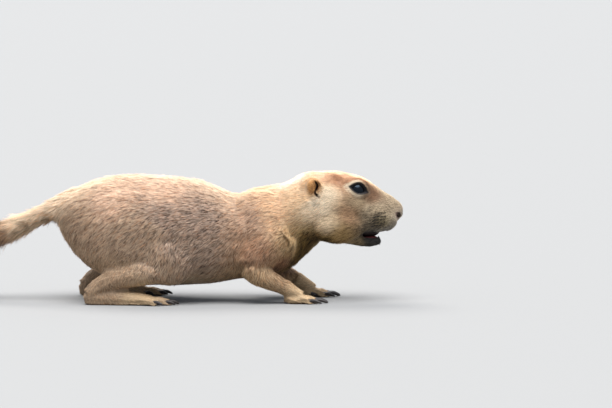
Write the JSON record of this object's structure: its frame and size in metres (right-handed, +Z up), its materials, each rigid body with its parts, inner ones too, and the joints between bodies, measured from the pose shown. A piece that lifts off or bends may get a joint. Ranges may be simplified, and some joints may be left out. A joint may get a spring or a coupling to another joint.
{
  "type": "prairie dog",
  "caption": "Life-size still model of a black-tailed prairie dog, low on all fours with its neck stretched forward, mouth a little open and tail drooping behind.",
  "frame": {"origin": "floor level, under the middle of the animal's bounding box", "axes": "+X the way the animal looks, +Y its left side, +Z up from the floor it stands on"},
  "size_m": [0.3226, 0.1008, 0.0907],
  "materials": {
    "fur": "short grizzled coat, sandy above and paler below",
    "tail_fur": "sandy brush with a black end",
    "nose": "short fur with dark bare nostril rims",
    "eye": "wet gloss, near black",
    "tongue": "wet, soft sheen",
    "claw": "dark horn, worn paler at the tips",
    "tooth": "ivory yellow enamel",
    "whisker": "stiff dark hair"
  },
  "bodies": {
    "root": {"head": "fur", "lower_jaw": "fur", "nose": "nose", "tongue": "tongue", "ear_right": "fur", "ear_left": "fur", "eye_right": "eye", "eye_left": "eye", "neck": "fur", "chest": "fur", "belly": "fur", "rump": "fur", "tail": "tail_fur", "foreleg_right": "fur", "foreleg_left": "fur", "forefoot_right": "fur", "forefoot_left": "fur", "hindleg_right": "fur", "hindleg_left": "fur", "hindfoot_right": "fur", "hindfoot_left": "fur"}
  },
  "joints": []
}
